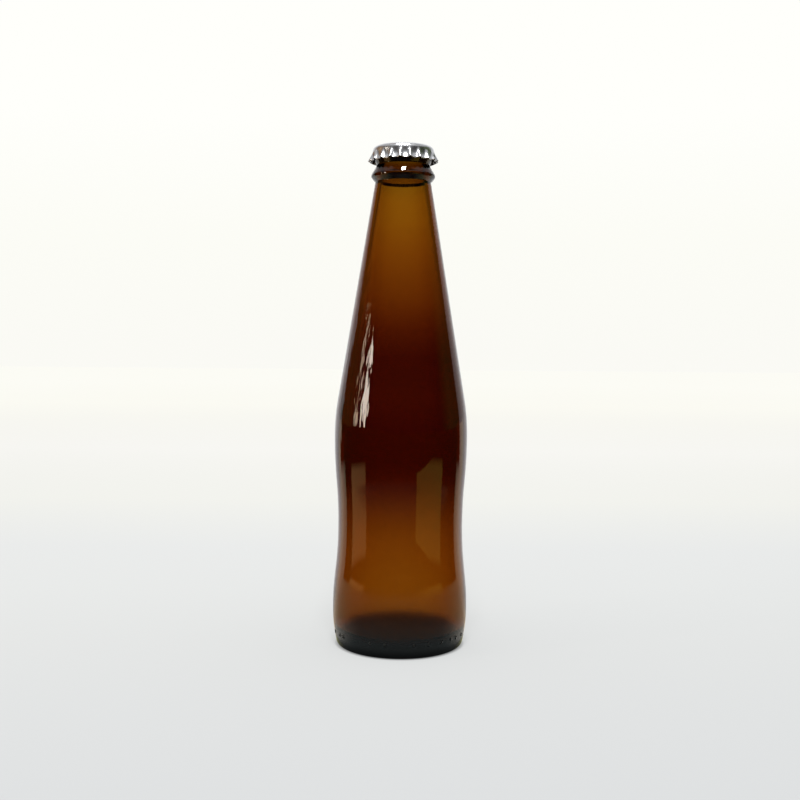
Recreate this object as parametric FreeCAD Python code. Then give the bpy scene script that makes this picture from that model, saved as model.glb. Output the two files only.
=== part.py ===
import FreeCAD, Part
import os
from math import acos, asin, atan2, cos, degrees, hypot, pi, radians, sin, sqrt, tan

# A long-neck beer bottle of 330 ml in amber glass, with a crown cap resting on its mouth.
# The cap is as it comes from its maker: its skirt still flares, because nothing has crimped it
# under the lip. Units are millimetres, +Z is up, the axis of the bottle is Z and the surface
# that it stands on is Z = 0.

# Driving dimensions: outside of the body
BELLY_RADIUS = 30.7             # the widest place, low on the body
BELLY_HEIGHT = 16.3
WAIST_RADIUS = 28.5             # the body is drawn in between belly and shoulder
WAIST_HEIGHT = 55.0
SHOULDER_RADIUS = 30.3
SHOULDER_HEIGHT = 95.7
SHOULDER_ARC_RADIUS = 104.0     # rolls the shoulder over into the straight neck cone
BELLY_ARC_SHARE = 0.49          # share of the belly's arc in its S-curve to the waist
SHOULDER_ARC_SHARE = 0.49       # share of the waist's arc in its S-curve to the shoulder
HEEL_ARC_RADIUS = 64.0          # draws the body in from the belly to the heel
HEEL_CORNER_RADIUS = 2.0

# Driving dimensions: base
BEARING_RING_WIDTH = 3.0        # the flat ring that the bottle stands on
PUSH_UP_HEIGHT = 3.4            # the hollow under the bottle
BASE_THICKNESS = 4.2            # of the glass at the centre
FLOOR_SAG = 1.6                 # the inside floor falls from its centre to its rim
FLOOR_CORNER_RADIUS = 4.6       # between the floor and the inside wall

# Driving dimensions: wall and finish (the moulded mouth)
BODY_WALL = 3.0
SHOULDER_WALL = 3.7             # a blown bottle is thickest here
NECK_WALL = 2.8
NECK_TOP_RADIUS = 12.66         # where the cone meets the bead
NECK_TOP_HEIGHT = 210.5
BEAD_RADIUS = 14.8              # the reinforcing ring, before its edge is rounded
BEAD_HEIGHT = 213.1
BEAD_ROUNDING = 1.5
UNDERCUT_RADIUS = 11.9          # the groove that the cap's skirt would be crimped into
UNDERCUT_HEIGHT = 218.2
LIP_RADIUS = 13.3
LIP_UNDERSIDE_HEIGHT = 220.7
MOUTH_HEIGHT = 225.5
LIP_ROUNDING = 1.9
BORE_RADIUS = 9.0
THROAT_HEIGHT = 213.4           # the blown cone opens out of the pressed bore here
THROAT_LENGTH = 2.4

# Driving dimensions: the code bars of the mould, raised on the heel
BAR_HEIGHT = 6.5                # of a bar's middle over the standing surface
BAR_WIDTH = 0.9
BAR_LENGTH = 1.7
BAR_PROUD = 0.3
BAR_PITCH = 6.3                 # degrees from one place of the code to the next
CODE_PLACES = [-12, -10, -9, -4, -2, 2, 4, 6, 8, 9, 11]

# Driving dimensions: crown cap and its liner
FLUTES = 21
FLUTE_TURN = 7.2                # degrees that the cap happens to be turned by on the mouth
SHEET = 0.24                    # thickness of the tinplate
LINER_THICKNESS = 0.8
LINER_RADIUS = 11.6
CAP_CORNER_RADIUS = 2.2
CAP_CORNER_TOP_RADIUS = 11.7    # the flat top of the cap ends here and its corner starts
RIM_HEIGHT = 220.05             # of the ridges' tips
RIM_VALLEY_RADIUS = 15.0
RIM_RIDGE_RADIUS = 16.05
VALLEY_DROP = 0.45              # the rim hangs lower between the ridges
POINTS_PER_FLUTE = 8

Z_AXIS = FreeCAD.Vector(0, 0, 1)


def point(radius, height):
    """A point of a profile in the XZ plane."""
    return FreeCAD.Vector(radius, 0, height)


def line(start, end):
    return Part.LineSegment(start, end).toShape()


def arc(centre, start, end):
    """The arc from start to end about centre, the shorter way."""
    first = atan2(start.z - centre.z, start.x - centre.x)
    turn = atan2(end.z - centre.z, end.x - centre.x) - first
    turn = (turn + pi) % (2 * pi) - pi
    radius = hypot(start.x - centre.x, start.z - centre.z)
    middle = point(centre.x + radius * cos(first + turn / 2), centre.z + radius * sin(first + turn / 2))
    return Part.Arc(start, middle, end).toShape()


def upright_s_curve(low, high, low_share):
    """Two arcs from low to high that are upright at both ends and tangent where they meet."""
    step = high.x - low.x
    rise = high.z - low.z
    both_radii = (step * step + rise * rise) / (2 * abs(step))
    side = 1 if step > 0 else -1
    low_radius = both_radii * low_share
    low_centre = point(low.x + side * low_radius, low.z)
    high_centre = point(high.x - side * (both_radii - low_radius), high.z)
    meeting = low_centre + (high_centre - low_centre) * low_share
    return [arc(low_centre, low, meeting), arc(high_centre, meeting, high)]


def level_s_curve(inner, outer):
    """Two equal arcs from inner to outer that are level at both ends."""
    step = outer.z - inner.z
    run = outer.x - inner.x
    both_radii = (step * step + run * run) / (2 * abs(step))
    side = 1 if step > 0 else -1
    inner_centre = point(inner.x, inner.z + side * both_radii / 2)
    outer_centre = point(outer.x, outer.z - side * both_radii / 2)
    meeting = (inner + outer) * 0.5
    return [arc(inner_centre, inner, meeting), arc(outer_centre, meeting, outer)]


def shoulder_arc(start, radius, cone_top):
    """The arc that leaves start upright and meets a straight line to cone_top in tangent."""
    centre = point(start.x - radius, start.z)
    reach = hypot(cone_top.x - centre.x, cone_top.z - centre.z)
    angle = atan2(cone_top.z - centre.z, cone_top.x - centre.x) - acos(radius / reach)
    tangent = point(centre.x + radius * cos(angle), centre.z + radius * sin(angle))
    return arc(centre, start, tangent), tangent


def rounded_path(corners):
    """Straight runs through (point, rounding radius) corners, each corner a tangent arc."""
    edges = []
    last = corners[0][0]
    for (before, _), (corner, radius), (after, _) in zip(corners, corners[1:], corners[2:]):
        back = (before - corner).normalize()
        ahead = (after - corner).normalize()
        half_angle = back.getAngle(ahead) / 2
        trim = radius / tan(half_angle)
        centre = corner + (back + ahead).normalize() * (radius / sin(half_angle))
        start = corner + back * trim
        end = corner + ahead * trim
        edges += [line(last, start), arc(centre, start, end)]
        last = end
    edges.append(line(last, corners[-1][0]))
    return edges


def revolved(edges):
    """The solid that a closed profile sweeps about the axis."""
    face = Part.Face(Part.Wire(edges))
    return face.revolve(FreeCAD.Vector(0, 0, 0), Z_AXIS, 360)


def base_outline():
    """Underside: push-up, bearing ring, heel corner and heel arc, from the axis to the belly."""
    belly = point(BELLY_RADIUS, BELLY_HEIGHT)
    heel_centre = point(BELLY_RADIUS - HEEL_ARC_RADIUS, BELLY_HEIGHT)
    rise = BELLY_HEIGHT - HEEL_CORNER_RADIUS
    run = sqrt((HEEL_ARC_RADIUS - HEEL_CORNER_RADIUS) ** 2 - rise ** 2)
    ring_outside = heel_centre.x + run
    corner_centre = point(ring_outside, HEEL_CORNER_RADIUS)
    ring_start = point(ring_outside - BEARING_RING_WIDTH, 0)
    ring_end = point(ring_outside, 0)
    heel_share = HEEL_ARC_RADIUS / (HEEL_ARC_RADIUS - HEEL_CORNER_RADIUS)
    heel_start = heel_centre + (corner_centre - heel_centre) * heel_share
    edges = level_s_curve(point(0, PUSH_UP_HEIGHT), ring_start)
    edges.append(line(ring_start, ring_end))
    edges.append(arc(corner_centre, ring_end, heel_start))
    edges.append(arc(heel_centre, heel_start, belly))
    return edges


def body_outline(belly, waist, shoulder):
    """Belly, waist and shoulder, from the belly up."""
    edges = upright_s_curve(belly, waist, BELLY_ARC_SHARE)
    edges += upright_s_curve(waist, shoulder, SHOULDER_ARC_SHARE)
    return edges


def finish_outline(cone_start, inner_cone_start, inner_throat):
    """Neck cone, bead, undercut, lip, bore and throat, up the outside and down the inside."""
    return rounded_path([
        (cone_start, 0),
        (point(NECK_TOP_RADIUS, NECK_TOP_HEIGHT), 0.5),
        (point(BEAD_RADIUS, BEAD_HEIGHT), BEAD_ROUNDING),
        (point(UNDERCUT_RADIUS, UNDERCUT_HEIGHT), 0.8),
        (point(LIP_RADIUS, LIP_UNDERSIDE_HEIGHT), 0.8),
        (point(LIP_RADIUS, MOUTH_HEIGHT), LIP_ROUNDING),
        (point(BORE_RADIUS, MOUTH_HEIGHT), 0.8),
        (point(BORE_RADIUS, THROAT_HEIGHT), 0.9),
        (inner_throat, 0.9),
        (inner_cone_start, 0),
    ])


def code_bar(place):
    """One bar of the mould's code, standing out of the heel. Place 0 faces the front."""
    drop = BELLY_HEIGHT - BAR_HEIGHT
    lean = asin(drop / HEEL_ARC_RADIUS)
    surface = point(BELLY_RADIUS - HEEL_ARC_RADIUS * (1 - cos(lean)), BAR_HEIGHT)
    depth = 1.2
    bar = Part.makeBox(depth + BAR_PROUD, BAR_WIDTH, BAR_LENGTH)
    outer_edges = [edge for edge in bar.Edges if edge.BoundBox.XMin > depth]
    bar = bar.makeChamfer(0.2, outer_edges)
    bar.translate(FreeCAD.Vector(-depth, -BAR_WIDTH / 2, -BAR_LENGTH / 2))
    bar.rotate(point(0, 0), FreeCAD.Vector(0, 1, 0), degrees(lean))
    bar.translate(surface)
    bar.rotate(point(0, 0), Z_AXIS, place * BAR_PITCH - 90)
    return bar


def bottle():
    """The glass: one closed profile from the push-up to the mouth and back down the inside."""
    belly = point(BELLY_RADIUS, BELLY_HEIGHT)
    waist = point(WAIST_RADIUS, WAIST_HEIGHT)
    shoulder = point(SHOULDER_RADIUS, SHOULDER_HEIGHT)
    neck_top = point(NECK_TOP_RADIUS, NECK_TOP_HEIGHT)
    outer_shoulder, cone_start = shoulder_arc(shoulder, SHOULDER_ARC_RADIUS, neck_top)
    cone_slope = (cone_start.x - neck_top.x) / (neck_top.z - cone_start.z)

    inner_belly = point(BELLY_RADIUS - BODY_WALL, BELLY_HEIGHT)
    inner_waist = point(WAIST_RADIUS - BODY_WALL, WAIST_HEIGHT)
    inner_shoulder = point(SHOULDER_RADIUS - SHOULDER_WALL, SHOULDER_HEIGHT)
    throat_height = THROAT_HEIGHT - THROAT_LENGTH
    outside_there = NECK_TOP_RADIUS + cone_slope * (NECK_TOP_HEIGHT - throat_height)
    inner_throat = point(outside_there - NECK_WALL, throat_height)
    inner_arc_radius = SHOULDER_ARC_RADIUS - SHOULDER_WALL
    inner_shoulder_arc, inner_cone_start = shoulder_arc(inner_shoulder, inner_arc_radius, inner_throat)

    floor_top = point(0, PUSH_UP_HEIGHT + BASE_THICKNESS)
    floor_rim = point(inner_belly.x - FLOOR_CORNER_RADIUS, floor_top.z - FLOOR_SAG)
    corner_centre = point(floor_rim.x, floor_rim.z + FLOOR_CORNER_RADIUS)
    wall_start = point(inner_belly.x, corner_centre.z)
    floor = level_s_curve(floor_top, floor_rim)

    edges = base_outline()
    edges += body_outline(belly, waist, shoulder)
    edges.append(outer_shoulder)
    edges += finish_outline(cone_start, inner_cone_start, inner_throat)
    edges.append(inner_shoulder_arc)
    edges += body_outline(inner_belly, inner_waist, inner_shoulder)
    edges.append(line(wall_start, inner_belly))
    edges.append(arc(corner_centre, floor_rim, wall_start))
    edges += floor
    edges.append(line(point(0, PUSH_UP_HEIGHT), floor_top))
    glass = revolved(Part.__sortEdges__(edges))
    return glass.fuse([code_bar(place) for place in CODE_PLACES]).Solids[0]


def cap_liner():
    """The sealing disc inside the cap: it rests on the lip and carries the cap."""
    return Part.makeCylinder(LINER_RADIUS, LINER_THICKNESS, point(0, MOUTH_HEIGHT), Z_AXIS)


def ridge(angle):
    """1 on the crest of a flute's narrow ridge, 0 in the wide valley between two ridges."""
    wave = (1 + cos(FLUTES * (angle - radians(FLUTE_TURN)))) / 2
    return wave ** 3


def skirt_point(angle, fall):
    """A point outside the skirt: fall is 0 where the corner ends and 1 at the rim."""
    corner_end_radius = CAP_CORNER_TOP_RADIUS + CAP_CORNER_RADIUS
    corner_end_height = MOUTH_HEIGHT + LINER_THICKNESS + SHEET - CAP_CORNER_RADIUS
    crest = ridge(angle)
    crest_radius = corner_end_radius + (RIM_RIDGE_RADIUS - corner_end_radius) * fall ** 1.25
    valley_radius = corner_end_radius + (RIM_VALLEY_RADIUS - corner_end_radius) * fall ** 3
    radius = valley_radius + crest * (crest_radius - valley_radius)
    rim_height = RIM_HEIGHT - VALLEY_DROP * (1 - crest)
    height = corner_end_height + (rim_height - corner_end_height) * fall
    return FreeCAD.Vector(radius * cos(angle), radius * sin(angle), height)


def cap_point(angle, station):
    """A point outside the cap's edge: station runs from -1, the flat top, over 0 to 1, the rim."""
    if station >= 0:
        return skirt_point(angle, station)
    turn = (1 + station) * pi / 2
    top_height = MOUTH_HEIGHT + LINER_THICKNESS + SHEET
    radius = CAP_CORNER_TOP_RADIUS + CAP_CORNER_RADIUS * sin(turn)
    height = top_height - CAP_CORNER_RADIUS * (1 - cos(turn))
    return FreeCAD.Vector(radius * cos(angle), radius * sin(angle), height)


def inside_point(angle, station):
    """The point of the cap's inside that faces an outside point, one sheet thickness away."""
    small = 1e-4
    along = cap_point(angle + small, station) - cap_point(angle - small, station)
    down = cap_point(angle, station + small) - cap_point(angle, station - small)
    normal = along.cross(down).normalize()
    return cap_point(angle, station) + normal * SHEET


def flute_curve(place, station):
    """A curve across one flute, from the middle of one valley over the ridge to the next."""
    start = radians(FLUTE_TURN) - pi / FLUTES
    angles = [start + 2 * pi / FLUTES * i / POINTS_PER_FLUTE for i in range(POINTS_PER_FLUTE + 1)]
    ends = [FreeCAD.Vector(-sin(angle), cos(angle), 0) for angle in (angles[0], angles[-1])]
    curve = Part.BSplineCurve()
    curve.interpolate(Points=[place(angle, station) for angle in angles],
                      InitialTangent=ends[0], FinalTangent=ends[1])
    return curve.toShape()


def all_round(shape):
    """The shape and its copies at every flute of the cap."""
    copies = [shape.copy() for _ in range(FLUTES)]
    for i, copy in enumerate(copies):
        copy.rotate(point(0, 0), Z_AXIS, 360 / FLUTES * i)
    return copies


def crown_cap():
    """The tinplate crown: one flute of sheet, outside, inside and rim, repeated about the axis."""
    stations = [-1, -0.75, -0.5, -0.25, 0, 0.15, 0.4, 0.7, 0.88, 1]
    outside = [flute_curve(cap_point, station) for station in stations]
    inside = [flute_curve(inside_point, station) for station in stations]
    skins = [Part.makeLoft([Part.Wire(curve) for curve in side], False, True) for side in (outside, inside)]
    rim = Part.makeRuledSurface(outside[-1], inside[-1])
    faces = []
    for face in skins[0].Faces + skins[1].Faces + [rim]:
        faces += all_round(face)
    for curve in (outside[0], inside[0]):
        faces.append(Part.Face(Part.Wire(all_round(curve))))
    shell = Part.Compound(faces)
    shell.sewShape(0.001)
    return Part.Solid(shell.Shells[0])


PARTS = {"bottle": bottle, "crown_cap": crown_cap, "cap_liner": cap_liner}

os.makedirs("parts", exist_ok=True)
for name, make in PARTS.items():
    solid = make()
    print(name, "valid", solid.isValid(), "volume", round(solid.Volume, 1), "mm3")
    solid.exportStep("parts/" + name + ".step")
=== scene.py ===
import math

import bpy
from mathutils import Matrix, Vector


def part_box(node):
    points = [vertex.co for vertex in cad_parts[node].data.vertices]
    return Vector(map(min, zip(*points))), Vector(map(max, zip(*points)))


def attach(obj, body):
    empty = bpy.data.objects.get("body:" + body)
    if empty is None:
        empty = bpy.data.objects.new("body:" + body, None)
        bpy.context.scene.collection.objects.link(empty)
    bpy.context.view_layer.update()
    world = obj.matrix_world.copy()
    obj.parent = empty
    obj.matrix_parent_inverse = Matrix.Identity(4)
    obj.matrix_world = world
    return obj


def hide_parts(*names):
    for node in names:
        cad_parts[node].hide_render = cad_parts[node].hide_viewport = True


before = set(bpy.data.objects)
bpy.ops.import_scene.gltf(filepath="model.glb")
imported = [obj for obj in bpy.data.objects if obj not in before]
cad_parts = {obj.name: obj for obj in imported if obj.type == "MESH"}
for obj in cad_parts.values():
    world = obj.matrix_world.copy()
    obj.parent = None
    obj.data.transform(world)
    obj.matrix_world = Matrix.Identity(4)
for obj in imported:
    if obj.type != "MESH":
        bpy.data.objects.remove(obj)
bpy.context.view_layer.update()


# ---------------------------------------------------------------------------
# The bottle: amber container glass, blown in a two-part mould, with a pressed
# mouth. One closed wall, drawn as a half outline and spun about the axis.
# ---------------------------------------------------------------------------
bottle_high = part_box("bottle")[1]
mm = 0.001

belly_radius = bottle_high.x
belly_height = 16.3 * mm
waist_radius = 28.5 * mm
waist_height = 55.0 * mm
shoulder_radius = 30.3 * mm
shoulder_height = 95.7 * mm
shoulder_arc_radius = 104.0 * mm
belly_arc_share = 0.49
shoulder_arc_share = 0.49
heel_arc_radius = 64.0 * mm
heel_corner_radius = 2.0 * mm
bearing_ring_width = 3.0 * mm
push_up_height = 3.4 * mm
base_thickness = 4.2 * mm
floor_sag = 1.6 * mm
floor_corner_radius = 4.6 * mm
body_wall = 3.0 * mm
shoulder_wall = 3.7 * mm
neck_wall = 2.8 * mm
neck_top = Vector((12.66, 0, 210.5)) * mm
bead = Vector((14.8, 0, 213.1)) * mm
undercut = Vector((11.9, 0, 218.2)) * mm
lip_radius = 13.3 * mm
lip_underside_height = 220.7 * mm
mouth_height = bottle_high.z
bore_radius = 9.0 * mm
throat_height = 213.4 * mm
throat_length = 2.4 * mm
finest_step = math.radians(6)
columns = 192


def at(radius, height):
    """A point of an outline in the XZ plane."""
    return Vector((radius, 0, height))


def begin_outline(name, start):
    """A new piece in edit mode that is one selected vertex."""
    bpy.ops.object.select_all(action="DESELECT")
    bpy.ops.mesh.primitive_plane_add(size=mm)
    bpy.context.object.name = name
    bpy.ops.object.mode_set(mode="EDIT")
    bpy.ops.mesh.merge(type="CENTER")
    bpy.ops.transform.translate(value=start)


def straight(start, end, parts=1):
    """Extrude the selected vertex in a straight run."""
    for _ in range(parts):
        bpy.ops.mesh.extrude_region_move(TRANSFORM_OT_translate={"value": (end - start) / parts})


def curved(centre, start, end, parts=None):
    """Spin the selected vertex about a centre, the shorter way."""
    first = start - centre
    last = end - centre
    turn = math.atan2(last.z, last.x) - math.atan2(first.z, first.x)
    turn = (turn + math.pi) % math.tau - math.pi
    steps = parts or max(3, math.ceil(abs(turn) / finest_step))
    bpy.ops.mesh.spin(steps=steps, angle=turn, center=centre, axis=(0, 1, 0))


def upright_s_curve(start, end, low_share, parts):
    """Two tangent arcs between places where the outline is upright, either way up."""
    low, high = sorted((start, end), key=lambda place: place.z)
    step = high.x - low.x
    rise = high.z - low.z
    both_radii = (step * step + rise * rise) / (2 * abs(step))
    side = math.copysign(1, step)
    low_centre = at(low.x + side * both_radii * low_share, low.z)
    high_centre = at(high.x - side * both_radii * (1 - low_share), high.z)
    meeting = low_centre.lerp(high_centre, low_share)
    centres = {low.z: low_centre, high.z: high_centre}
    curved(centres[start.z], start, meeting, parts)
    curved(centres[end.z], meeting, end, parts)


def level_s_curve(start, end, parts):
    """Two equal tangent arcs between places where the outline is level."""
    step = end.z - start.z
    run = end.x - start.x
    radius = (step * step + run * run) / (4 * abs(step))
    side = math.copysign(1, step)
    meeting = start.lerp(end, 0.5)
    curved(at(start.x, start.z + side * radius), start, meeting, parts)
    curved(at(end.x, end.z - side * radius), meeting, end, parts)


def shoulder_tangent(shoulder, radius, cone_top):
    """Where a straight neck cone leaves the arc that rises from the shoulder."""
    centre = at(shoulder.x - radius, shoulder.z)
    to_top = cone_top - centre
    angle = math.atan2(to_top.z, to_top.x) - math.acos(radius / to_top.length)
    return centre, centre + at(radius * math.cos(angle), radius * math.sin(angle))


def rounded_corners(start, corners, end):
    """Straight runs from start to end through (place, rounding radius) corners."""
    places = [start] + [place for place, _ in corners] + [end]
    last = start
    for before, (corner, radius), after in zip(places, corners, places[2:]):
        back = (before - corner).normalized()
        ahead = (after - corner).normalized()
        half_angle = back.angle(ahead) / 2
        trim = radius / math.tan(half_angle)
        centre = corner + (back + ahead).normalized() * (radius / math.sin(half_angle))
        straight(last, corner + back * trim)
        curved(centre, corner + back * trim, corner + ahead * trim)
        last = corner + ahead * trim
    straight(last, end)


belly = at(belly_radius, belly_height)
waist = at(waist_radius, waist_height)
shoulder = at(shoulder_radius, shoulder_height)
shoulder_centre, cone_start = shoulder_tangent(shoulder, shoulder_arc_radius, neck_top)
cone_slope = (cone_start.x - neck_top.x) / (neck_top.z - cone_start.z)

inner_belly = at(belly_radius - body_wall, belly_height)
inner_waist = at(waist_radius - body_wall, waist_height)
inner_shoulder = at(shoulder_radius - shoulder_wall, shoulder_height)
throat = at(neck_top.x + cone_slope * (neck_top.z - throat_height + throat_length) - neck_wall,
            throat_height - throat_length)
inner_shoulder_centre, inner_cone_start = shoulder_tangent(
    inner_shoulder, shoulder_arc_radius - shoulder_wall, throat)

heel_centre = at(belly_radius - heel_arc_radius, belly_height)
heel_rise = belly_height - heel_corner_radius
ring_radius = heel_centre.x + math.sqrt((heel_arc_radius - heel_corner_radius) ** 2 - heel_rise ** 2)
corner_centre = at(ring_radius, heel_corner_radius)
heel_start = heel_centre + (corner_centre - heel_centre).normalized() * heel_arc_radius
ring_start = at(ring_radius - bearing_ring_width, 0)
ring_end = at(ring_radius, 0)
push_up = at(0, push_up_height)
floor_top = at(0, push_up_height + base_thickness)
floor_rim = at(inner_belly.x - floor_corner_radius, floor_top.z - floor_sag)
floor_corner_centre = floor_rim + at(0, floor_corner_radius)
wall_start = floor_rim + at(floor_corner_radius, floor_corner_radius)

begin_outline("bottle_glass", push_up)
level_s_curve(push_up, ring_start, 10)
straight(ring_start, ring_end, 3)
curved(corner_centre, ring_end, heel_start, 8)
curved(heel_centre, heel_start, belly, 17)
upright_s_curve(belly, waist, belly_arc_share, 14)
upright_s_curve(waist, shoulder, shoulder_arc_share, 16)
curved(shoulder_centre, shoulder, cone_start, 12)
rounded_corners(
    cone_start,
    [
        (neck_top, 0.5 * mm),
        (bead, 1.5 * mm),
        (undercut, 0.8 * mm),
        (at(lip_radius, lip_underside_height), 0.8 * mm),
        (at(lip_radius, mouth_height), 1.9 * mm),
        (at(bore_radius, mouth_height), 0.8 * mm),
        (at(bore_radius, throat_height), 0.9 * mm),
        (throat, 0.9 * mm),
    ],
    inner_cone_start,
)
curved(inner_shoulder_centre, inner_cone_start, inner_shoulder, 12)
upright_s_curve(inner_shoulder, inner_waist, shoulder_arc_share, 16)
upright_s_curve(inner_waist, inner_belly, belly_arc_share, 14)
straight(inner_belly, wall_start, 2)
curved(floor_corner_centre, wall_start, floor_rim, 10)
level_s_curve(floor_rim, floor_top, 8)

bpy.ops.mesh.select_all(action="SELECT")
bpy.ops.mesh.spin(steps=columns, angle=math.tau, center=(0, 0, 0), axis=(0, 0, 1))
bpy.ops.mesh.select_all(action="SELECT")
bpy.ops.mesh.remove_doubles(threshold=0.01 * mm)
bpy.ops.mesh.normals_make_consistent(inside=False)
bpy.ops.mesh.select_all(action="DESELECT")
bpy.ops.mesh.select_mode(type="FACE")
bpy.ops.object.mode_set(mode="OBJECT")
bottle = bpy.context.object

bar_height = 6.5 * mm
bar_length = 1.7 * mm
bar_proud = 0.3 * mm
bar_pitch = 6.3        # degrees
code_places = (-12, -10, -9, -4, -2, 2, 4, 6, 8, 9, 11)
for face in bottle.data.polygons:
    outside = face.center.xy.length > belly_radius - body_wall / 2
    if outside and abs(face.center.z - bar_height) < bar_length / 2:
        around = math.degrees(math.atan2(face.center.x, -face.center.y))
        face.select = any(abs(around - place * bar_pitch) < 180 / columns for place in code_places)
bpy.ops.object.mode_set(mode="EDIT")
bpy.ops.mesh.inset(thickness=bar_proud, depth=bar_proud)
bpy.ops.object.mode_set(mode="OBJECT")
bpy.ops.object.shade_smooth()


class Shade:
    """One socket of a node tree. Arithmetic and comparisons on it add Math nodes to the tree."""

    def __init__(self, tree, socket=None):
        self.tree = tree
        self.socket = socket

    def node(self, kind, settings=None, sockets=None, output=0):
        """Add a node, set its settings, then give its sockets values or links."""
        added = self.tree.nodes.new("ShaderNode" + kind)
        for name, value in (settings or {}).items():
            if name == "stops":
                set_stops(added.color_ramp, value)
            else:
                setattr(added, name, value)
        for name, value in (sockets or {}).items():
            if isinstance(value, Shade):
                self.tree.links.new(value.socket, added.inputs[name])
            else:
                added.inputs[name].default_value = value
        return Shade(self.tree, added.outputs[output])

    def math(self, operation, first, second=0):
        return self.node("Math", {"operation": operation}, {0: first, 1: second})

    def __add__(self, other):
        return self.math("ADD", self, other)

    def __sub__(self, other):
        return self.math("SUBTRACT", self, other)

    def __rsub__(self, other):
        return self.math("SUBTRACT", other, self)

    def __mul__(self, other):
        return self.math("MULTIPLY", self, other)

    def __gt__(self, other):
        return self.math("GREATER_THAN", self, other)

    def __lt__(self, other):
        return self.math("LESS_THAN", self, other)

    def __abs__(self):
        return self.math("ABSOLUTE", self)

    __radd__ = __add__
    __rmul__ = __mul__


def set_stops(colour_ramp, stops):
    """Give a colour ramp its (place, colour) stops."""
    while len(colour_ramp.elements) < len(stops):
        colour_ramp.elements.new(1)
    for element, (place, colour) in zip(colour_ramp.elements, stops):
        element.position = place
        element.color = (*colour, 1)


def ramp(value, stops):
    """The colour that a ramp of stops has at value."""
    return value.node("ValToRGB", {"stops": stops}, {0: value})


def fade(value, none, full):
    """0 where value is at none or beyond, rising evenly to 1 at full."""
    return value.node("MapRange", sockets={"Value": value, "From Min": none, "From Max": full})


def blend(start, share, first, second, how="MIX"):
    """One colour laid over another, by share."""
    return start.node("Mix", {"data_type": "RGBA", "blend_type": how},
                      {"Factor": share, 6: first, 7: second}, output=2)


def axes(vector):
    """The X, Y and Z of a place or a direction."""
    return [vector.node("SeparateXYZ", sockets={0: vector}, output=axis) for axis in range(3)]


def grey(value):
    """A colour with no hue."""
    return (value, value, value)


def new_material(name):
    """An empty material, as a starting Shade and its output node."""
    material = bpy.data.materials.new(name)
    material.use_nodes = True
    material.node_tree.nodes.clear()
    output = material.node_tree.nodes.new("ShaderNodeOutputMaterial")
    return material, Shade(material.node_tree), output


def tint_and_painted_shade(share):
    """Base colour by share of the height: the glass's tint with painted shade, deep at the foot and the
    shoulder, light between them.
    """
    return ramp(share, [
        (0.000, (0.20, 0.16, 0.16)),
        (0.020, (0.53, 0.46, 0.50)),
        (0.038, (0.78, 0.70, 0.82)),
        (0.060, (0.90, 0.79, 0.90)),
        (0.090, (0.96, 0.86, 1.00)),
        (0.20, (0.90, 0.76, 1.00)),
        (0.24, (0.80, 0.65, 1.00)),
        (0.30, (0.58, 0.39, 0.70)),
        (0.355, (0.40, 0.11, 0.10)),
        (0.42, (0.43, 0.13, 0.05)),
        (0.50, (0.51, 0.23, 0.10)),
        (0.58, (0.44, 0.19, 0.15)),
        (0.64, (0.58, 0.35, 0.40)),
        (0.70, (0.76, 0.60, 0.80)),
        (0.80, (0.92, 0.83, 1.00)),
        (0.86, (0.98, 0.96, 1.00)),
        (0.90, (0.96, 0.95, 1.00)),
        (0.92, (0.88, 0.91, 1.00)),
        (0.95, (0.76, 0.89, 0.95)),
        (1.00, (0.73, 0.89, 0.90)),
    ])


def on_code_bars(height, from_axis):
    """1 on the code bars. A slanting line stands in for the heel's arc over their short height."""
    heel_run = math.sqrt(heel_arc_radius ** 2 - (belly_height - bar_height) ** 2)
    heel_slope = (belly_height - bar_height) / heel_run
    heel_line = heel_centre.x + heel_run - heel_slope * bar_height
    return from_axis - height * heel_slope > heel_line + bar_proud * 0.2


def wall_waves(start, place, share):
    """Long upright waves that blowing leaves in the wall, on the front left of shoulder and neck."""
    across, depth, _ = axes(place)
    waves_round = 310.0
    waves_upright = 45.0
    wave_depth = 0.3 * mm
    stretched = start.node("VectorMath", {"operation": "MULTIPLY"},
                           {0: place, 1: (waves_round, waves_round, waves_upright)})
    wave = start.node("TexNoise", sockets={"Vector": stretched, "Scale": 1.0, "Detail": 2.0})
    on_neck = ramp(share, [(0.40, grey(0.0)), (0.45, grey(1.0)), (0.74, grey(1.0)), (0.82, grey(0.0))])
    on_left = fade(across, -4 * mm, -10 * mm)
    on_front = fade(depth, -6 * mm, -12 * mm)
    return start.node("Bump", sockets={
        "Height": wave * on_neck * (on_left * on_front), "Distance": wave_depth, "Strength": 1.0})


def amber_glass():
    """Clear amber glass: the wall absorbs blue most and red least. Rubbing has scuffed the belly. Its colour
    carries painted shade: deeper at the foot and the shoulder, and near black on the base and the code bars.
    """
    material, start, output = new_material("amber_glass")
    place = start.node("TexCoord", output=3)
    across, depth, height = axes(place)
    share = height * (1 / mouth_height)
    from_axis = start.math("SQRT", across * across + depth * depth)
    on_bar = on_code_bars(height, from_axis)
    in_base = (from_axis < inner_belly.x + 0.1 * mm) * (height < floor_top.z + 0.2 * mm)
    scuffed = ((from_axis > 29 * mm) * fade(height, 8 * mm, 11 * mm)
               * fade(height, 34 * mm, 26 * mm))
    glass = start.node("BsdfPrincipled", sockets={
        "Normal": wall_waves(start, place, share),
        # Painted shade: the base and the code bars are coloured near black.
        "Base Color": blend(start, on_bar + in_base, tint_and_painted_shade(share), (0.08, 0.085, 0.065, 1)),
        "Roughness": on_bar * 0.7 + in_base * 0.6 + scuffed * 0.24,
        "IOR": 1.52,
        "Transmission Weight": 1.0,
    })
    colour_kept = (0.788, 0.613, 0.0, 1)
    kept = start.node("VolumeAbsorption", sockets={"Color": colour_kept, "Density": 1050.0})
    start.tree.links.new(glass.socket, output.inputs["Surface"])
    start.tree.links.new(kept.socket, output.inputs["Volume"])
    return material


bottle.data.materials.clear()
bottle.data.materials.append(amber_glass())
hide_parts("bottle")
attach(bottle, "root")


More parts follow.
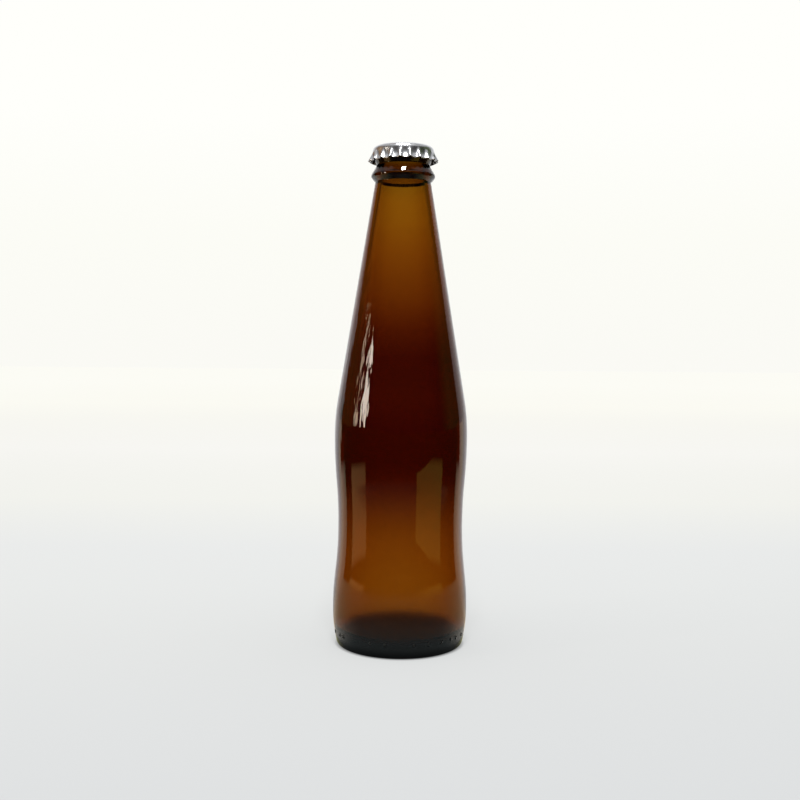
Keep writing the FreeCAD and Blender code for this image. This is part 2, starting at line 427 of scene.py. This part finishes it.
# ---------------------------------------------------------------------------
# The crown cap: bright tinplate, drawn and fluted in one stroke. Its skirt
# still flares, because nothing has crimped it; it only rests on the mouth.
# ---------------------------------------------------------------------------
cap_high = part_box("crown_cap")[1]
flutes = 21
points_per_flute = 12
flute_turn = math.radians(7.2)
cap_top_radius = 11.7 * mm
cap_corner_radius = 2.2 * mm
sheet = 0.24 * mm
rim_ridge_radius = 16.05 * mm
rim_valley_radius = 15.0 * mm
rim_height = 220.05 * mm
valley_drop = 0.45 * mm
crest_sharpness = 3
crest_flare = 1.25
valley_flare = 3


def cap_ring(radius, height):
    """One ring of points of the cap's side, added to the piece in edit mode."""
    bpy.ops.mesh.select_all(action="DESELECT")
    bpy.ops.mesh.primitive_circle_add(vertices=flutes * points_per_flute, radius=radius,
                                      location=(0, 0, height), fill_type="NOTHING")


bpy.ops.object.select_all(action="DESELECT")
bpy.ops.mesh.primitive_circle_add(vertices=flutes * points_per_flute, radius=cap_top_radius,
                                  location=(0, 0, 0), fill_type="NOTHING")
cap = bpy.context.object
cap.name = "crown_tinplate"
bpy.ops.object.mode_set(mode="EDIT")
bpy.ops.mesh.select_mode(type="VERT")
bpy.ops.transform.translate(value=(0, 0, cap_high.z))
corner_steps = 7
for turn in range(1, corner_steps + 1):
    angle = turn / corner_steps * math.pi / 2
    cap_ring(cap_top_radius + cap_corner_radius * math.sin(angle),
             cap_high.z - cap_corner_radius * (1 - math.cos(angle)))
corner_end_radius = cap_top_radius + cap_corner_radius
corner_end_height = cap_high.z - cap_corner_radius
fall_steps = 16
for step in range(1, fall_steps + 1):
    fall = step / fall_steps
    cap_ring(corner_end_radius, corner_end_height + (rim_height - corner_end_height) * fall)
bpy.ops.mesh.select_all(action="SELECT")
bpy.ops.mesh.bridge_edge_loops()
bpy.ops.mesh.select_all(action="DESELECT")
bpy.ops.mesh.select_mode(type="EDGE")
bpy.ops.object.mode_set(mode="OBJECT")
for edge in cap.data.edges:
    edge.select = all(cap.data.vertices[end].co.z > cap_high.z - 0.001 * mm for end in edge.vertices)
bpy.ops.object.mode_set(mode="EDIT")
bpy.ops.mesh.edge_face_add()
bpy.ops.mesh.inset(thickness=0.7 * mm)
bpy.ops.object.mode_set(mode="OBJECT")
for vertex in cap.data.vertices:
    fall = (corner_end_height - vertex.co.z) / (corner_end_height - rim_height)
    if fall > 0.001:
        around = math.atan2(vertex.co.y, vertex.co.x)
        crest = ((1 + math.cos(flutes * (around - flute_turn))) / 2) ** crest_sharpness
        crest_radius = corner_end_radius + (rim_ridge_radius - corner_end_radius) * fall ** crest_flare
        valley_radius = corner_end_radius + (rim_valley_radius - corner_end_radius) * fall ** valley_flare
        radius = valley_radius + crest * (crest_radius - valley_radius)
        drop = valley_drop * (1 - crest) * fall
        vertex.co = Vector((radius * math.cos(around), radius * math.sin(around), vertex.co.z - drop))
bpy.ops.object.mode_set(mode="EDIT")
bpy.ops.mesh.select_all(action="SELECT")
bpy.ops.mesh.normals_make_consistent(inside=False)
bpy.ops.object.mode_set(mode="OBJECT")
solidify = cap.modifiers.new("sheet", "SOLIDIFY")
solidify.thickness = sheet
solidify.offset = -1
outer_points = len(cap.data.vertices)
bpy.ops.object.modifier_apply(modifier="sheet")
bpy.ops.object.shade_smooth()
# The sheet's inner points come after its outer ones.
# The inner side is marked so that the tinplate can be darkened there, as painted shade.
inner_side = cap.data.attributes.new("inner_side", "FLOAT", "POINT")
for number, point in enumerate(inner_side.data):
    point.value = float(number >= outer_points)


def tinplate():
    """Bright tinplate: polished steel under clear lacquer. The inside is coloured dark as painted shade."""
    material, start, output = new_material("tinplate")
    place = start.node("TexCoord", output=3)
    inside = start.node("Attribute", {"attribute_name": "inner_side"}, output=2) > 0.5
    grain = start.node("TexNoise", sockets={"Vector": place, "Scale": 900.0, "Detail": 3.0})
    metal = start.node("BsdfPrincipled", sockets={
        # Painted shade: the inside of the sheet is coloured near black.
        "Base Color": blend(start, inside, (0.82, 0.83, 0.86, 1), (0.12, 0.115, 0.11, 1)),
        "Metallic": 1.0,
        "Roughness": grain * 0.10 + 0.24,
    })
    start.tree.links.new(metal.socket, output.inputs["Surface"])
    return material


cap.data.materials.clear()
cap.data.materials.append(tinplate())
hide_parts("crown_cap")
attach(cap, "root")


# ---------------------------------------------------------------------------
# The liner: a disc of soft sealing compound moulded into the cap. The lip of
# the bottle presses on its outer ring.
# ---------------------------------------------------------------------------
def sealing_compound():
    """Matt dark grey sealing compound."""
    material, start, output = new_material("sealing_compound")
    place = start.node("TexCoord", output=3)
    grain = start.node("TexNoise", sockets={"Vector": place, "Scale": 1500.0})
    colour = ramp(grain, [(0.3, (0.035, 0.035, 0.04)), (0.7, (0.06, 0.06, 0.065))])
    paint = start.node("BsdfPrincipled", sockets={"Base Color": colour, "Roughness": 0.55})
    start.tree.links.new(paint.socket, output.inputs["Surface"])
    return material


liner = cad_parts["cap_liner"]
liner.data.materials.clear()
liner.data.materials.append(sealing_compound())


# ---------------------------------------------------------------------------
# The floor: a sheet of pale grey paper, so large that it merges with the
# pale room with no edge. It isn't part of the bottle.
# ---------------------------------------------------------------------------
bpy.ops.object.select_all(action="DESELECT")
bpy.ops.mesh.primitive_plane_add(size=12)
floor = bpy.context.object
floor.name = "floor"


def span(degrees):
    """Place on a ramp that runs from 0 to 180 degrees away from straight behind."""
    return degrees / 180


def paper_colour(start, depth, reach):
    """Pale grey paper, with painted light that lightens it with depth and a painted shadow that darkens it
    under the bottle. It ends with no edge.
    """
    # Painted light: the paper lightens with depth.
    colour = ramp((depth + 0.5) * 0.4, [
        (0.13, (0.601, 0.614, 0.625)),
        (0.20, (0.657, 0.668, 0.669)),
        (0.24, (0.688, 0.700, 0.700)),
        (0.29, (0.714, 0.725, 0.727)),
        (0.38, (0.803, 0.806, 0.775)),
        (0.56, (0.884, 0.879, 0.853)),
        (1.00, (0.950, 0.942, 0.884)),
    ])
    merged = blend(start, fade(reach, 1.6, 3.5), colour, (0.975, 0.97, 0.92, 1))
    # Painted shadow: under the bottle the paper is near black.
    outside_painted_shadow = fade(reach, 26 * mm, 30 * mm) * 0.97 + 0.03
    return blend(start, 1.0, merged, outside_painted_shadow, how="MULTIPLY")


def mirrored_paper(start, bearing, reach):
    """The paper in a mirror: lit behind the bottle, dim before it and past its edges, lit close by."""
    turn = abs(bearing)
    paper_light = ramp(turn, [
        (span(20), grey(0.85)),
        (span(40), grey(0.69)),
        (span(50), (0.92, 0.80, 0.62)),
        (span(58), (0.80, 0.66, 0.48)),
        (span(67), (0.56, 0.50, 0.32)),
        (span(85), (0.40, 0.40, 0.22)),
        (span(104), (0.20, 0.20, 0.14)),
        (span(121), grey(0.06)),
        (span(140), grey(0.04)),
    ])
    past_side = fade(reach, 0.28, 0.32) * (turn > span(68.5))
    past_back = fade(reach, 0.44, 0.60) * (abs(bearing - span(3)) > span(56))
    seen_paper = blend(start, past_side + past_back, paper_light, (0.07, 0.025, 0.006, 1))
    # Painted shadow: right under the bottle the mirrored paper is dark.
    in_front = ramp(reach, [
        (0.028, grey(0.02)), (0.036, (0.27, 0.31, 0.31)), (0.06, (0.26, 0.28, 0.27)),
        (0.10, grey(0.13)), (0.14, grey(0.0))])
    beside = ramp(reach, [
        (0.030, grey(0.0)), (0.036, (0.62, 0.60, 0.55)), (0.06, (0.60, 0.56, 0.48)), (0.09, grey(0.0))])
    close_by = blend(start, fade(turn, span(125), span(98)), in_front, beside)
    return blend(start, 1.0, seen_paper, close_by, how="LIGHTEN")


def mirrored_tables(start, paper, depth, bearing, reach):
    """Wooden tables on both sides of the paper, in a mirror."""
    left_table = (fade(reach, 0.28, 0.31) * fade(reach, 0.52, 0.42)
                  * (depth < 0.025) * (bearing < 0) * (bearing > -span(118)))
    right_table = (fade(reach, 0.245, 0.275) * fade(reach, 0.60, 0.46)
                   * (depth > -0.335) * (bearing > span(105)) * (bearing < span(153)))
    one_table = blend(start, left_table, paper, (1.00, 0.56, 0.20, 1))
    return blend(start, right_table, one_table, (0.66, 0.43, 0.07, 1))


def floor_paper():
    """Pale grey paper. Glass and metal mirror its lit part and the tables beside it."""
    material, start, output = new_material("floor_paper")
    place = start.node("TexCoord", output=3)
    across, depth, _ = axes(place)
    reach = start.node("VectorMath", {"operation": "LENGTH"}, {0: place}, output=1)
    bearing = start.math("ARCTAN2", across, depth) * (1 / math.pi)
    colour = paper_colour(start, depth, reach)
    paper = start.node("BsdfDiffuse", sockets={0: colour})
    lit_paper = start.node("Emission", sockets={0: colour, 1: 1.0})
    tables = mirrored_tables(start, mirrored_paper(start, bearing, reach), depth, bearing, reach)
    mirrored = start.node("Emission", sockets={0: tables, 1: 1.0})

    seen_ray = start.node("LightPath", output=0)
    mirror_ray = start.node("LightPath", output=3)
    shown = start.node("MixShader", sockets={0: seen_ray * 0.72, 1: paper, 2: lit_paper})
    surface = start.node("MixShader", sockets={0: mirror_ray, 1: shown, 2: mirrored})
    start.tree.links.new(surface.socket, output.inputs["Surface"])
    return material


floor.data.materials.append(floor_paper())


# ---------------------------------------------------------------------------
# The room: an even pale light on everything. Glass and metal show a white
# backdrop behind the bottle, and a dark room with a grey ceiling before it.
# ---------------------------------------------------------------------------
world = bpy.data.worlds.new("studio")
bpy.context.scene.world = world
world.use_nodes = True
world.node_tree.nodes.clear()
air = Shade(world.node_tree)
world_output = world.node_tree.nodes.new("ShaderNodeOutputWorld")
direction = air.node("TexCoord", output=0)
side, away, up = axes(direction)
bearing = air.math("ARCTAN2", side, away) * (0.5 / math.pi) + 0.5
level = air.math("ARCSINE", up) * (1 / math.pi) + 0.5


def turned(degrees):
    """Place on the bearing ramp of a direction so far right of straight behind."""
    return degrees / 360 + 0.5


def raised(degrees):
    """Place on the level ramp of a direction so far above the horizon."""
    return degrees / 180 + 0.5


pale_sky = ramp(level, [
    (raised(-90), (0.96, 0.945, 0.91)),
    (raised(0), (0.96, 0.955, 0.91)),
    (raised(6), (0.975, 0.975, 0.92)),
    (raised(12), (1.0, 1.0, 0.965)),
])
backdrop = ramp(bearing, [
    (turned(-95), grey(0.0)),
    (turned(-85), (0.22, 0.10, 0.02)),
    (turned(-53), (0.12, 0.05, 0.01)),
    (turned(-52), grey(0.38)),
    (turned(-38), grey(0.60)),
    (turned(-24), grey(0.95)),
    (turned(24), grey(0.95)),
    (turned(38), grey(0.60)),
    (turned(58), grey(0.38)),
    (turned(59), (0.03, 0.04, 0.01)),
    (turned(85), (0.06, 0.09, 0.02)),
    (turned(110), grey(0.0)),
])
dark_room = ramp(level, [
    (raised(-90), grey(0.012)),
    (raised(30), grey(0.012)),
    (raised(38), grey(0.42)),
    (raised(58), grey(0.42)),
    (raised(63), grey(0.02)),
    (raised(80), grey(0.05)),
    (raised(86), grey(0.90)),
])
seen_through_glass = air.node("LightPath", output=6)
seen_in_mirror = air.node("LightPath", output=3)
facing_viewer = fade(abs(bearing - 0.5), 108 / 360, 130 / 360)
before_bottle = blend(air, seen_through_glass * facing_viewer, dark_room, (0.80, 0.80, 0.77, 1))
room = blend(air, 1.0, backdrop, before_bottle, how="LIGHTEN")
even_light = air.node("Background", sockets={"Color": pale_sky, "Strength": 1.0})
room_light = air.node("Background", sockets={"Color": room, "Strength": 1.0})
shown = air.node("MixShader", sockets={0: seen_in_mirror + seen_through_glass, 1: even_light, 2: room_light})
world.node_tree.links.new(shown.socket, world_output.inputs["Surface"])


# ---------------------------------------------------------------------------
# The lamps: two window panes on the left, whose light makes the streak on the
# neck, and a skylight over the viewer. All three point at the lower neck.
# ---------------------------------------------------------------------------
lamp_target = Vector((0, 0, 0.13))
for name, shape, place, width, height, power, colour in (
    ("window_left_pane", "ELLIPSE", Vector((-0.716, -0.075, 0.215)), 0.07, 0.24, 0.28, (1.0, 0.80, 0.58)),
    ("window_right_pane", "ELLIPSE", Vector((-0.665, -0.275, 0.215)), 0.11, 0.24, 0.84, (1.0, 0.88, 0.74)),
    ("skylight", "RECTANGLE", Vector((0.0, -0.48, 1.10)), 0.24, 0.36, 11.0, (1.0, 1.0, 1.0)),
):
    lamp_data = bpy.data.lights.new(name, "AREA")
    lamp_data.shape = shape
    lamp_data.size = width
    lamp_data.size_y = height
    lamp_data.energy = power
    lamp_data.color = colour
    lamp = bpy.data.objects.new(name, lamp_data)
    lamp.visible_transmission = False
    bpy.context.scene.collection.objects.link(lamp)
    aim = (lamp_target - place).to_track_quat("-Z", "Y")
    lamp.matrix_world = Matrix.Translation(place) @ aim.to_matrix().to_4x4()


# ---------------------------------------------------------------------------
# The camera: a little above the shoulder, looking very slightly down, with a
# slight tilt to one side.
# ---------------------------------------------------------------------------
camera_data = bpy.data.cameras.new("camera")
camera_data.sensor_width = 36
camera_data.lens = 47.25
camera_data.clip_start = 0.01
camera = bpy.data.objects.new("camera", camera_data)
bpy.context.scene.collection.objects.link(camera)
pitch = math.radians(2.86)
roll = math.radians(0.49)
camera.matrix_world = (Matrix.Translation((-0.0006, -0.480, 0.136))
                       @ Matrix.Rotation(math.pi / 2 - pitch, 4, "X")
                       @ Matrix.Rotation(roll, 4, "Z"))
bpy.context.scene.camera = camera
bpy.context.scene.view_settings.view_transform = "Standard"
